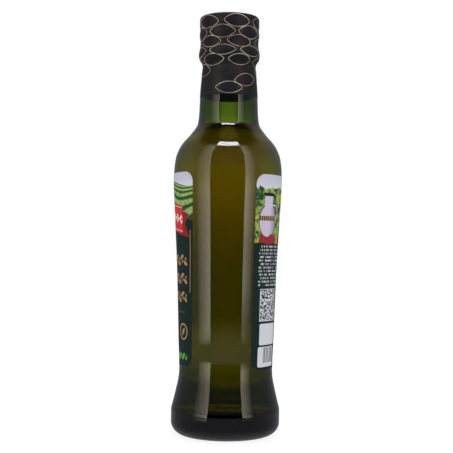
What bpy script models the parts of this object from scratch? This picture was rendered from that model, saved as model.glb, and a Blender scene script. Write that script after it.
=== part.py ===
"""A 250 ml olive oil bottle with a waisted glass body, a flared foot and a black capsule over its closure.

Metres, +Z up. The origin is the middle of the base, on the surface that the bottle stands on. The middle
of the front label faces -Y and the middle of the back label faces +Y.
"""

import math

import bpy
from mathutils import Vector
from mathutils.geometry import interpolate_bezier

MM = 0.001

# Glass, outside
FOOT_RADIUS = 28.55 * MM
HEEL_ROUND = 6.7 * MM
RING_INNER_RADIUS = 18.0 * MM
PUNT_HEIGHT = 4.5 * MM
NECK_RADIUS = 13.5 * MM
LIP_HEIGHT = 217.0 * MM
LIP_ROUND = 1.0 * MM

# Glass, inside
WALL = 3.0 * MM
BORE_RADIUS = 10.6 * MM
BORE_HEIGHT = 197.0 * MM
FLOOR_RIM_HEIGHT = 9.5 * MM
FLOOR_MIDDLE_HEIGHT = 12.9 * MM
FLOOR_ROUND = 5.0 * MM

# Oil
OIL_LEVEL = 162.8 * MM
OIL_GAP = 0.3 * MM

# Capsule: a shrunk sleeve and the closure under it, as one piece
CAPSULE_EDGE_HEIGHT = 177.4 * MM
CAPSULE_TOP_HEIGHT = 220.4 * MM
CAPSULE_CROWN = 0.5 * MM
CAPSULE_ROUND = 2.4 * MM
CAPSULE_RIM_RADIUS = 15.8 * MM
CAPSULE_TOP_WALL = 2.9 * MM
SKIRT_TOP_HEIGHT = 194.5 * MM
SLEEVE_WALL = 0.25 * MM
SLEEVE_GAP = 0.2 * MM

# Labels
LABEL_GAP = 0.3 * MM
LABEL_THICKNESS = 0.2 * MM
LABEL_CORNER = 5.3 * MM
LABEL_TOP_HALF_WIDTH = 26.5 * MM
FRONT_LABEL_TOP = 136.9 * MM
FRONT_LABEL_BOTTOM = 35.4 * MM
FRONT_LABEL_BOTTOM_HALF_WIDTH = 19.6 * MM
BACK_LABEL_TOP = 135.9 * MM
BACK_LABEL_BOTTOM = 34.4 * MM
BACK_LABEL_BOTTOM_HALF_WIDTH = 22.3 * MM

# Fineness of the faceted solids
SEGMENTS = 44
STEPS_PER_SPAN = 2
ROUND_STEPS = 4
LABEL_COLUMNS = 12
LABEL_ROWS = 9
AXIS_MERGE = 0.00001

# The glass from the straight neck down to the foot, as (radius, height) in millimetres
GLASS_STATIONS = (
    (13.5, 197.7),
    (13.65, 194.5),
    (15.15, 177.4),
    (15.3, 174.8),
    (15.65, 169.0),
    (16.5, 163.3),
    (20.0, 157.8),
    (24.55, 152.5),
    (27.15, 147.2),
    (28.3, 141.3),
    (28.6, 134.0),
    (27.6, 112.8),
    (25.95, 81.0),
    (24.9, 49.2),
    (24.45, 36.3),
    (25.05, 28.4),
    (26.4, 22.3),
    (27.7, 17.2),
    (28.4, 12.5),
)

# The capsule from its rounded rim down over a slim bead and a broad bead to the top of its skirt
CAPSULE_STATIONS = (
    (15.8, 215.6),
    (15.6, 213.5),
    (15.9, 210.6),
    (15.5, 208.2),
    (15.4, 205.8),
    (15.65, 203.4),
    (16.2, 200.7),
    (16.0, 198.7),
    (14.9, 196.6),
    (14.2, 195.1),
)


def clear_scene():
    """Remove the objects that the scene opens with."""
    for old in list(bpy.data.objects):
        bpy.data.objects.remove(old, do_unlink=True)


def make_material(name, colour, roughness, transmission=0.0):
    """Return a Principled material of one colour."""
    material = bpy.data.materials.new(name)
    material.use_nodes = True
    shader = material.node_tree.nodes["Principled BSDF"]
    shader.inputs["Base Color"].default_value = (*colour, 1.0)
    shader.inputs["Roughness"].default_value = roughness
    shader.inputs["Metallic"].default_value = 0.0
    shader.inputs["Transmission Weight"].default_value = transmission
    return material


def arc(centre, radii, start, end, steps=ROUND_STEPS):
    """Return points along an elliptic arc, with start and end in degrees from the +radius direction."""
    points = []
    for step in range(steps + 1):
        angle = math.radians(start + (end - start) * step / steps)
        points.append((centre[0] + radii[0] * math.cos(angle), centre[1] + radii[1] * math.sin(angle)))
    return points


def smooth_outline(stations):
    """Return points on one smooth curve through stations given in millimetres."""
    knots = [Vector((radius, height, 0.0)) * MM for radius, height in stations]
    last = len(knots) - 1
    points = [knots[0]]
    for index in range(last):
        here, there = knots[index], knots[index + 1]
        reach = (there - here).length / 3.0
        leave = (there - knots[max(index - 1, 0)]).normalized() * reach
        arrive = (knots[min(index + 2, last)] - here).normalized() * reach
        points += interpolate_bezier(here, here + leave, there - arrive, there, STEPS_PER_SPAN + 1)[1:]
    return [(point.x, point.y) for point in points]


def offset_outline(points, distance):
    """Return an outline that runs downwards, moved towards the axis by a distance square to itself."""
    moved = []
    for index, (radius, height) in enumerate(points):
        before = points[max(index - 1, 0)]
        after = points[min(index + 1, len(points) - 1)]
        along = Vector((after[0] - before[0], after[1] - before[1])).normalized()
        moved.append((radius + along.y * distance, height - along.x * distance))
    return moved


def cavity_outline(glass, clearance):
    """Return the inner wall from the neck down to the middle of the floor, drawn in by a clearance."""
    wall = offset_outline(glass[::STEPS_PER_SPAN], WALL + clearance)
    floor_corner = FLOOR_RIM_HEIGHT + FLOOR_ROUND
    side = [point for point in wall if point[1] > floor_corner + clearance]
    side_radius = FOOT_RADIUS - WALL - clearance
    corner_centre = (side_radius - FLOOR_ROUND, floor_corner + clearance)
    corner = arc(corner_centre, (FLOOR_ROUND, FLOOR_ROUND), 0, -90)
    dome_rise = FLOOR_MIDDLE_HEIGHT - FLOOR_RIM_HEIGHT
    dome = arc((0.0, corner[-1][1]), (corner_centre[0], dome_rise), 0, 90)[1:]
    return side + corner + dome


def turned(name, profile, material):
    """Turn a profile of (radius, height) points about the Z axis, and return the object."""
    mesh = bpy.data.meshes.new(name)
    points = [(radius, 0.0, height) for radius, height in profile]
    edges = [(index, index + 1) for index in range(len(points) - 1)]
    mesh.from_pydata(points, edges, [])
    piece = bpy.data.objects.new(name, mesh)
    bpy.context.scene.collection.objects.link(piece)
    mesh.materials.append(material)
    turn = piece.modifiers.new("Turn", "SCREW")
    turn.axis = "Z"
    turn.angle = math.tau
    turn.steps = SEGMENTS
    turn.render_steps = SEGMENTS
    turn.use_merge_vertices = True
    turn.merge_threshold = AXIS_MERGE
    turn.use_smooth_shade = True
    return piece


def glass_bottle(glass):
    """Build the bottle: floor, inner wall, bore, lip, outer wall, heel, standing ring and punt in one profile."""
    cavity = [point for point in cavity_outline(glass, 0.0) if point[1] < CAPSULE_EDGE_HEIGHT]
    bore = [(BORE_RADIUS, BORE_HEIGHT), (BORE_RADIUS, LIP_HEIGHT - LIP_ROUND)]
    lip_inside = arc((BORE_RADIUS + LIP_ROUND, LIP_HEIGHT - LIP_ROUND), (LIP_ROUND, LIP_ROUND), 180, 90, 2)[1:]
    lip_outside = arc((NECK_RADIUS - LIP_ROUND, LIP_HEIGHT - LIP_ROUND), (LIP_ROUND, LIP_ROUND), 90, 0, 2)
    heel_centre = (FOOT_RADIUS - HEEL_ROUND, HEEL_ROUND)
    heel = arc(heel_centre, (HEEL_ROUND, HEEL_ROUND), 0, -90, 5)
    punt = arc((0.0, 0.0), (RING_INNER_RADIUS, PUNT_HEIGHT), 0, 90)
    profile = cavity[::-1] + bore + lip_inside + lip_outside + glass + heel + punt
    return turned("glass_bottle", profile, make_material("Green glass", (0.10, 0.16, 0.02), 0.05, 1.0))


def oil(glass):
    """Build the oil, from its level surface down the inner wall to the middle of the floor."""
    side = cavity_outline(glass, OIL_GAP)
    below = [point for point in side if point[1] < OIL_LEVEL - MM]
    above = [point for point in side if point[1] >= OIL_LEVEL - MM][-1]
    share = (OIL_LEVEL - below[0][1]) / (above[1] - below[0][1])
    level_radius = below[0][0] + (above[0] - below[0][0]) * share
    profile = [(0.0, OIL_LEVEL), (level_radius, OIL_LEVEL)] + below
    return turned("oil", profile, make_material("Olive oil", (0.22, 0.17, 0.01), 0.05, 1.0))


def capsule(glass):
    """Build the capsule: crown, rim, two beads and a skirt that follows the neck, then the hollow up to the lip."""
    covered = [point for point in glass if point[1] > CAPSULE_EDGE_HEIGHT - AXIS_MERGE]
    skirt_in = [(radius + SLEEVE_GAP, height) for radius, height in covered]
    skirt_out = [(radius + SLEEVE_WALL, height) for radius, height in skirt_in if height < SKIRT_TOP_HEIGHT + AXIS_MERGE]
    rim_centre = (CAPSULE_RIM_RADIUS - CAPSULE_ROUND, CAPSULE_TOP_HEIGHT - CAPSULE_CROWN - CAPSULE_ROUND)
    crown = arc((0.0, CAPSULE_TOP_HEIGHT - CAPSULE_CROWN), (rim_centre[0], CAPSULE_CROWN), 90, 0, 3)
    rim = arc(rim_centre, (CAPSULE_ROUND, CAPSULE_ROUND), 90, 0)[1:]
    ceiling = CAPSULE_TOP_HEIGHT - CAPSULE_TOP_WALL
    hollow = [(NECK_RADIUS + SLEEVE_GAP, ceiling), (0.0, ceiling)]
    profile = crown + rim + smooth_outline(CAPSULE_STATIONS) + skirt_out + skirt_in[::-1] + hollow
    return turned("capsule", profile, make_material("Black capsule", (0.02, 0.018, 0.02), 0.4))


def radius_at(outline, height):
    """Return an outline's radius at a height, on the straight line between its nearest points."""
    for upper, lower in zip(outline, outline[1:]):
        if upper[1] >= height >= lower[1]:
            share = (upper[1] - height) / (upper[1] - lower[1])
            return upper[0] + (lower[0] - upper[0]) * share
    raise ValueError(f"no glass at height {height}")


def label_rows(bottom, top):
    """Return the heights of a label's rows, closer together where its corners are rounded."""
    turns = [LABEL_CORNER * (1.0 - math.cos(math.pi / 2 * step / ROUND_STEPS)) for step in range(ROUND_STEPS)]
    low, high = bottom + LABEL_CORNER, top - LABEL_CORNER
    straight = [low + (high - low) * step / LABEL_ROWS for step in range(LABEL_ROWS + 1)]
    return [bottom + turn for turn in turns] + straight + [top - turn for turn in turns[::-1]]


def wrapped_label(name, glass, facing, bottom, top, bottom_half_width, material):
    """Build a thin label with rounded corners that narrows downwards and follows the glass."""
    corners = []
    for height in label_rows(bottom, top):
        share = (height - bottom) / (top - bottom)
        half_width = bottom_half_width + (LABEL_TOP_HALF_WIDTH - bottom_half_width) * share
        into_corner = max(0.0, bottom + LABEL_CORNER - height, height - top + LABEL_CORNER)
        half_width -= LABEL_CORNER - math.sqrt(max(LABEL_CORNER**2 - into_corner**2, 0.0))
        radius = radius_at(glass, height) + LABEL_GAP
        for column in range(LABEL_COLUMNS + 1):
            turn = facing + half_width / radius * (2.0 * column / LABEL_COLUMNS - 1.0)
            corners.append((radius * math.cos(turn), radius * math.sin(turn), height))
    row = LABEL_COLUMNS + 1
    faces = []
    for start in range(0, len(corners) - row, row):
        for low in range(start, start + LABEL_COLUMNS):
            faces.append((low, low + 1, low + row + 1, low + row))
    mesh = bpy.data.meshes.new(name)
    mesh.from_pydata(corners, [], faces)
    piece = bpy.data.objects.new(name, mesh)
    bpy.context.scene.collection.objects.link(piece)
    mesh.materials.append(material)
    mesh.shade_smooth()
    paper = piece.modifiers.new("Paper", "SOLIDIFY")
    paper.thickness = LABEL_THICKNESS
    paper.offset = 1.0
    return piece


def main():
    """Build the bottle's five pieces, each under its own name."""
    clear_scene()
    glass = smooth_outline(GLASS_STATIONS)
    glass_bottle(glass)
    oil(glass)
    capsule(glass)
    print_green = make_material("Printed front", (0.02, 0.06, 0.045), 0.35)
    print_back = make_material("Printed back", (0.02, 0.07, 0.05), 0.35)
    wrapped_label(
        "front_label", glass, -math.pi / 2, FRONT_LABEL_BOTTOM, FRONT_LABEL_TOP,
        FRONT_LABEL_BOTTOM_HALF_WIDTH, print_green,
    )
    wrapped_label(
        "back_label", glass, math.pi / 2, BACK_LABEL_BOTTOM, BACK_LABEL_TOP,
        BACK_LABEL_BOTTOM_HALF_WIDTH, print_back,
    )


main()
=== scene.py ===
"""The looks of the olive oil bottle.

A waisted bottle of green glass stands on a pale studio floor. Olive oil fills it up to the start
of the neck, a shrunk black capsule covers its closure, and two printed labels are wrapped on it.
The frame gives every piece its place, and each finer piece here stands for a solid of the frame.
"""

from __future__ import annotations

import logging
import math
import random
from collections.abc import Callable, Iterator, Sequence
from contextlib import contextmanager
from dataclasses import dataclass
from enum import Enum

import bmesh
import bpy
from mathutils import Matrix, Vector

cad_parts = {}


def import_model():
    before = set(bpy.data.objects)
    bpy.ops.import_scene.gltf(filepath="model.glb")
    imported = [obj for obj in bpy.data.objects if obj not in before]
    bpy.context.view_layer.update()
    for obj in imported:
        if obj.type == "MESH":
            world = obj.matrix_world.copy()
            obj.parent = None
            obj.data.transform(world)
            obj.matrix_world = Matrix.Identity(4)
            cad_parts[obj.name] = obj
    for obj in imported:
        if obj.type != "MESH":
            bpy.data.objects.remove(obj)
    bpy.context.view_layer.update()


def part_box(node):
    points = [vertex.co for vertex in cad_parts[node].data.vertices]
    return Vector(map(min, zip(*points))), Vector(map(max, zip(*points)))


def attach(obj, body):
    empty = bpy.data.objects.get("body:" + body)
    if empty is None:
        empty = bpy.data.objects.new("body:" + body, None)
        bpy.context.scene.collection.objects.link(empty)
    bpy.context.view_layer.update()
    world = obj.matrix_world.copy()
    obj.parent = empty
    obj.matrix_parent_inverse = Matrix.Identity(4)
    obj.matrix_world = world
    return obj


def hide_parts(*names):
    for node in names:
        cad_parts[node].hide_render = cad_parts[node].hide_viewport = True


LOG = logging.getLogger("olive_oil_bottle")

MM = 0.001
BODY = "root"
WELD = 0.000001
TURN_STEPS = 192
UPRIGHT = (math.pi / 2, 0, 0)
CAMERA_BEARING = 3.9

Point = tuple[float, float]
Fade = tuple[float, float, float, float]
Box = tuple[Point, Point]
Rgba = tuple[float, float, float, float]
Feed = "float | Rgba | Value | bpy.types.NodeSocket"


def screen(red: float, green: float, blue: float) -> Rgba:
    """Turn a colour as a screen shows it into the linear one that a shader takes.

    Args:
        red: red channel, 0 to 255.
        green: green channel, 0 to 255.
        blue: blue channel, 0 to 255.

    Returns:
        The linear colour, with an alpha of 1.
    """
    channels = []
    for value in (red, green, blue):
        share = value / 255
        channels.append(share / 12.92 if share <= 0.04045 else ((share + 0.055) / 1.055) ** 2.4)
    return (channels[0], channels[1], channels[2], 1.0)


def select_only(piece: bpy.types.Object) -> None:
    """Select one object, make it active and let go of all others.

    Args:
        piece: the object that the next operator works on.
    """
    bpy.ops.object.select_all(action="DESELECT")
    piece.select_set(True)
    bpy.context.view_layer.objects.active = piece


@contextmanager
def editing(piece: bpy.types.Object) -> Iterator[None]:
    """Hold a piece in edit mode, all of it selected, and leave edit mode at the end.

    Args:
        piece: the mesh object to work on.

    Yields:
        Nothing: the work is done on the piece itself.
    """
    select_only(piece)
    bpy.ops.object.mode_set(mode="EDIT")
    bpy.ops.mesh.select_all(action="SELECT")
    yield
    bpy.ops.object.mode_set(mode="OBJECT")


def pick_points(piece: bpy.types.Object, wanted: Callable[[Vector], bool]) -> None:
    """Select, in edit mode, the points that pass a test, and the faces between them.

    Args:
        piece: the mesh object in edit mode.
        wanted: says of a point's place whether it is selected.
    """
    bpy.ops.mesh.select_all(action="DESELECT")
    shape = bmesh.from_edit_mesh(piece.data)
    for point in shape.verts:
        point.select_set(wanted(point.co))
    shape.select_flush(True)
    bmesh.update_edit_mesh(piece.data)


def settle(piece: bpy.types.Object) -> None:
    """Put a piece's place, turn and scale into its mesh, so that its object is at the origin."""
    select_only(piece)
    bpy.ops.object.transform_apply(location=True, rotation=True, scale=True)


def shape_with(piece: bpy.types.Object, kind: str, **settings: object) -> None:
    """Add a modifier to a piece, set it and apply it.

    Args:
        piece: the mesh object to shape.
        kind: the modifier's type.
        settings: the modifier's own values, by name.
    """
    select_only(piece)
    bpy.ops.object.modifier_add(type=kind)
    modifier = piece.modifiers[-1]
    for name, value in settings.items():
        setattr(modifier, name, value)
    bpy.ops.object.modifier_apply(modifier=modifier.name)


def shade(piece: bpy.types.Object, angle: float = 35) -> None:
    """Shade a piece smooth, but for edges sharper than an angle in degrees."""
    select_only(piece)
    bpy.ops.object.shade_smooth_by_angle(angle=math.radians(angle))


def arc(centre: Point, radii: Point, start: float, end: float, steps: int) -> list[Point]:
    """Draw a round stretch of an outline.

    Args:
        centre: the arc's centre, as (radius, height).
        radii: its half width and half height.
        start: its first angle in degrees, 0 outwards and 90 upwards.
        end: its last angle in degrees.
        steps: straight pieces in it.

    Returns:
        The arc's points, both ends included.
    """
    points = []
    for step in range(steps + 1):
        angle = math.radians(start + (end - start) * step / steps)
        points.append((centre[0] + radii[0] * math.cos(angle), centre[1] + radii[1] * math.sin(angle)))
    return points


def flowing(stations: Sequence[Point], steps: int) -> list[Point]:
    """Draw a smooth outline through its stations, with the radius as a function of the height.

    Args:
        stations: (radius, height) points, each lower than the one before.
        steps: straight pieces between two stations.

    Returns:
        The outline's points, from the first station to the last.
    """
    slopes = [(b[0] - a[0]) / (b[1] - a[1]) for a, b in zip(stations, stations[1:])]
    spans = [b[1] - a[1] for a, b in zip(stations, stations[1:])]
    leans = [slopes[0]]
    for index in range(1, len(slopes)):
        before, after = spans[index - 1], spans[index]
        leans.append((slopes[index - 1] * after + slopes[index] * before) / (before + after))
    leans.append(slopes[-1])
    points = []
    for index, span in enumerate(spans):
        (radius, height), (next_radius, _) = stations[index], stations[index + 1]
        for step in range(steps):
            t = step / steps
            value = (2 * t**3 - 3 * t**2 + 1) * radius + (3 * t**2 - 2 * t**3) * next_radius
            value += (t**3 - 2 * t**2 + t) * span * leans[index] + (t**3 - t**2) * span * leans[index + 1]
            points.append((value, height + span * t))
    points.append(tuple(stations[-1]))
    return points


def beside(outline: Sequence[Point], distance: float) -> list[Point]:
    """Draw the line that runs beside an outline, at a distance along its normals.

    Args:
        outline: (radius, height) points from top to bottom.
        distance: how far inwards the new line runs, or outwards where negative.

    Returns:
        One point for each point of the outline.
    """
    points = []
    for index, (radius, height) in enumerate(outline):
        before = outline[max(index - 1, 0)]
        after = outline[min(index + 1, len(outline) - 1)]
        along = Vector((after[0] - before[0], after[1] - before[1])).normalized()
        points.append((radius + along.y * distance, height - along.x * distance))
    return points


def turn(name: str, outline: Sequence[Point]) -> bpy.types.Object:
    """Turn an outline round the bottle's axis into a closed skin.

    A point is drawn out along the outline and then spun round the Z axis.

    Args:
        name: the new piece's name.
        outline: (radius, height) points that start and end on the axis, or where they began.

    Returns:
        The turned piece.
    """
    start = outline[0]
    bpy.ops.mesh.primitive_plane_add(size=MM, location=(start[0], 0, start[1]))
    piece = bpy.context.object
    piece.name = name
    with editing(piece):
        bpy.ops.mesh.merge(type="CENTER")
        for here, there in zip(outline, outline[1:]):
            step = (there[0] - here[0], 0, there[1] - here[1])
            bpy.ops.mesh.extrude_vertices_move(TRANSFORM_OT_translate={"value": step})
        bpy.ops.mesh.select_all(action="SELECT")
        bpy.ops.mesh.spin(steps=TURN_STEPS, angle=2 * math.pi, center=(0, 0, 0), axis=(0, 0, 1))
        bpy.ops.mesh.select_all(action="SELECT")
        bpy.ops.mesh.remove_doubles(threshold=WELD)
        bpy.ops.mesh.normals_make_consistent(inside=False)
    settle(piece)
    shade(piece)
    return piece


def cut_into_strips(piece: bpy.types.Object, wide: float, tall: float) -> None:
    """Cut a flat upright piece, in edit mode, into strips that can bend.

    Args:
        piece: the mesh object in edit mode.
        wide: the width of the upright strips, along X.
        tall: the height of the level ones, along Z.
    """
    for axis, pitch in ((Vector((1, 0, 0)), wide), (Vector((0, 0, 1)), tall)):
        reach = [point.co.dot(axis) for point in bmesh.from_edit_mesh(piece.data).verts]
        count = math.ceil((max(reach) - min(reach)) / pitch)
        for index in range(1, count):
            place = min(reach) + (max(reach) - min(reach)) * index / count
            bpy.ops.mesh.select_all(action="SELECT")
            bpy.ops.mesh.bisect(plane_co=axis * place, plane_no=axis)


def roll_onto(piece: bpy.types.Object, target: bpy.types.Object, radius: float, gap: float) -> None:
    """Roll a flat piece round the bottle's axis and press it onto a turned piece.

    The piece lies flat in the XZ plane with its face to -Y, its X as the length along the round.

    Args:
        piece: the flat piece.
        target: the turned piece that carries it.
        radius: the radius at which a length along X keeps its size.
        gap: how far it stands off the target.
    """
    across = [point.co.x for point in piece.data.vertices]
    angle = (max(across) - min(across)) / radius
    shape_with(piece, "SIMPLE_DEFORM", deform_method="BEND", deform_axis="Z", angle=angle)
    widest = max(abs(point.co.x) for point in target.data.vertices)
    with editing(piece):
        bpy.ops.transform.translate(value=(0, -radius, 0))
        spread = (widest + 2 * MM) / radius
        bpy.ops.transform.resize(value=(spread, spread, 1), center_override=(0, 0, 0))
    onto = {"target": target, "offset": gap}
    both = {"use_negative_direction": True, "use_positive_direction": True}
    shape_with(piece, "SHRINKWRAP", wrap_method="PROJECT", **both, **onto)
    shape_with(piece, "SHRINKWRAP", wrap_method="NEAREST_SURFACEPOINT", wrap_mode="ABOVE_SURFACE", **onto)


class SocketKind(Enum):
    """What a socket of a node group carries."""

    NUMBER = "NodeSocketFloat"
    PLACE = "NodeSocketVector"


class Value:
    """A value in a node tree, with which plain arithmetic adds Math nodes."""

    def __init__(self, graph: Graph, socket: bpy.types.NodeSocket) -> None:
        """Hold the output socket that gives the value, and the graph it is in."""
        self.graph = graph
        self.socket = socket

    def __add__(self, other: Feed) -> Value:
        """Add a number."""
        return self.graph.calc("ADD", self, other)

    def __mul__(self, other: Feed) -> Value:
        """Multiply by a number, as masks are where all of them have to hold."""
        return self.graph.calc("MULTIPLY", self, other)

    __radd__ = __add__
    __rmul__ = __mul__

    def __sub__(self, other: Feed) -> Value:
        """Take a number away."""
        return self.graph.calc("SUBTRACT", self, other)

    def __rsub__(self, other: Feed) -> Value:
        """Take the value away from a number."""
        return self.graph.calc("SUBTRACT", other, self)

    def __truediv__(self, other: Feed) -> Value:
        """Divide by a number."""
        return self.graph.calc("DIVIDE", self, other)

    def __abs__(self) -> Value:
        """Drop the sign."""
        return self.graph.calc("ABSOLUTE", self)


class Graph:
    """Builds one node tree, a node at a time."""

    def __init__(self, tree: bpy.types.NodeTree) -> None:
        """Start on a tree with nothing in it."""
        self.tree = tree
        tree.nodes.clear()

    def add(self, kind: str, *values: Feed, **settings: object) -> bpy.types.Node:
        """Add a node.

        Args:
            kind: the node's type.
            values: its first inputs, in order.
            settings: the node's own settings, by name.

        Returns:
            The new node.
        """
        node = self.tree.nodes.new(kind)
        for name, value in settings.items():
            setattr(node, name, value)
        for socket, value in zip(node.inputs, values):
            self.feed(socket, value)
        return node

    def feed(self, socket: bpy.types.NodeSocket, value: Feed) -> None:
        """Join an input to an output, or set its plain value.

        Args:
            socket: the input.
            value: a value of the graph, an output, a number or a colour.
        """
        if isinstance(value, Value):
            value = value.socket
        if isinstance(value, bpy.types.NodeSocket):
            self.tree.links.new(value, socket)
        else:
            socket.default_value = value

    def first(self, kind: str, *values: Feed, **settings: object) -> Value:
        """Add a node, as add does, and give its first output."""
        return Value(self, self.add(kind, *values, **settings).outputs[0])

    def calc(self, operation: str, *values: Feed, clamp: bool = False) -> Value:
        """Add a Math node and give its result, kept between 0 and 1 where clamp is set."""
        return self.first("ShaderNodeMath", *values, operation=operation, use_clamp=clamp)

    def above(self, value: Feed, limit: Feed, edge: float) -> Value:
        """Mask where a value passes a limit, with a soft edge of the given width."""
        past = self.calc("SUBTRACT", value, limit)
        return self.calc("MULTIPLY_ADD", past, 1 / edge, 0.5, clamp=True)

    def within(self, value: Feed, low: Feed, high: Feed, edge: float) -> Value:
        """Mask where a value lies between two limits, with soft edges."""
        return self.above(value, low, edge) * self.above(high, value, edge)

    def distance(self, first: Value, second: Value) -> Value:
        """Give the length of the line whose two legs are given."""
        return self.calc("SQRT", first * first + second * second)

    def cell(self, value: Value, pitch: Feed) -> tuple[Value, Value]:
        """Part a line into cells: give the cell's index, and how far its middle is behind."""
        index = self.calc("FLOOR", value / pitch)
        return index, value - (index + 0.5) * pitch

    def ramp(self, value: Feed, start: float, end: float, low: float, high: float) -> Value:
        """Bring a value smoothly from one level to another.

        Args:
            value: the value.
            start: where the result leaves the first level.
            end: where it reaches the second one.
            low: the first level.
            high: the second level.

        Returns:
            The level.
        """
        levels = (value, start, end, low, high)
        return self.first("ShaderNodeMapRange", *levels, interpolation_type="SMOOTHSTEP")

    def curve(self, value: Value, stops: Sequence[tuple[float, Rgba]]) -> Value:
        """Read a colour from a row of stops.

        Args:
            value: the value.
            stops: the values and their colours, in rising order.

        Returns:
            The colour.
        """
        low, high = stops[0][0], stops[-1][0]
        node = self.add("ShaderNodeValToRGB", (value - low) / (high - low))
        steps = node.color_ramp.elements
        steps[0].color, steps[1].color = stops[0][1], stops[-1][1]
        for place, colour in stops[1:-1]:
            steps.new((place - low) / (high - low)).color = colour
        return Value(self, node.outputs["Color"])

    def scaled(self, colour: Feed, amount: Feed) -> Value:
        """Multiply a colour by a number.

        Args:
            colour: the colour.
            amount: the number.

        Returns:
            The brighter or darker colour.
        """
        node = self.add("ShaderNodeVectorMath", colour, operation="SCALE")
        self.feed(node.inputs["Scale"], amount)
        return Value(self, node.outputs[0])

    def together(self, first: Feed, second: Feed) -> Value:
        """Add two colours up."""
        return self.first("ShaderNodeVectorMath", first, second, operation="ADD")

    def blend(self, amount: Feed, first: Feed, second: Feed) -> Value:
        """Mix two colours.

        Args:
            amount: 0 for the first colour, 1 for the second.
            first: the colour underneath.
            second: the colour on top.

        Returns:
            The mixed colour.
        """
        node = self.add("ShaderNodeMix", amount, data_type="RGBA")
        for socket, colour in zip([item for item in node.inputs if item.type == "RGBA"], (first, second)):
            self.feed(socket, colour)
        return Value(self, next(item for item in node.outputs if item.type == "RGBA"))

    def noise(self, place: Feed, scale: Feed, detail: float = 2, rough: float = 0.5) -> Value:
        """Add a Noise texture.

        Args:
            place: where it is read.
            scale: how many of its waves fit in one unit.
            detail: how many finer waves it adds.
            rough: how strong the finer ones are.

        Returns:
            Its value, about 0.5 on average.
        """
        node = self.add("ShaderNodeTexNoise")
        for name, value in {"Vector": place, "Scale": scale, "Detail": detail, "Roughness": rough}.items():
            self.feed(node.inputs[name], value)
        return Value(self, node.outputs[0])

    def chance(self, first: Feed, second: Feed = 0.0) -> Value:
        """Draw a number from 0 to 1 for a cell, always the same for the same two indices."""
        cell = self.first("ShaderNodeCombineXYZ", first, second)
        return self.first("ShaderNodeTexWhiteNoise", cell, noise_dimensions="3D")

    def place(self) -> Value:
        """Give the place on the object, in metres in the bottle's frame."""
        return Value(self, self.add("ShaderNodeTexCoord").outputs["Object"])

    def split(self, vector: Feed) -> list[Value]:
        """Take a vector apart into its X, Y and Z."""
        return [Value(self, socket) for socket in self.add("ShaderNodeSeparateXYZ", vector).outputs]

    def use(self, group: bpy.types.NodeTree, *values: Feed) -> dict[str, Value]:
        """Place a node group, fed with its inputs in order, and give its outputs by name."""
        node = self.add("ShaderNodeGroup", *values, node_tree=group)
        return {socket.name: Value(self, socket) for socket in node.outputs}


class Group(Graph):
    """A node group of numbers, in which an input that is named Place is a vector."""

    def __init__(self, name: str, *inputs: str) -> None:
        """Open a new node group.

        Args:
            name: the group's name.
            inputs: its inputs' names.
        """
        super().__init__(bpy.data.node_groups.new(name, "ShaderNodeTree"))
        for item in inputs:
            kind = SocketKind.PLACE if item == "Place" else SocketKind.NUMBER
            self.tree.interface.new_socket(item, in_out="INPUT", socket_type=kind.value)
        entry = self.add("NodeGroupInput")
        self.given = [Value(self, socket) for socket in entry.outputs][: len(inputs)]

    def close(self, **results: Feed) -> bpy.types.NodeTree:
        """Give the group its outputs.

        Args:
            results: each output's value, by its name.

        Returns:
            The finished group.
        """
        for name in results:
            self.tree.interface.new_socket(name, in_out="OUTPUT", socket_type=SocketKind.NUMBER.value)
        leave = self.add("NodeGroupOutput")
        for name, value in results.items():
            self.feed(leave.inputs[name], value)
        return self.tree


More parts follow.
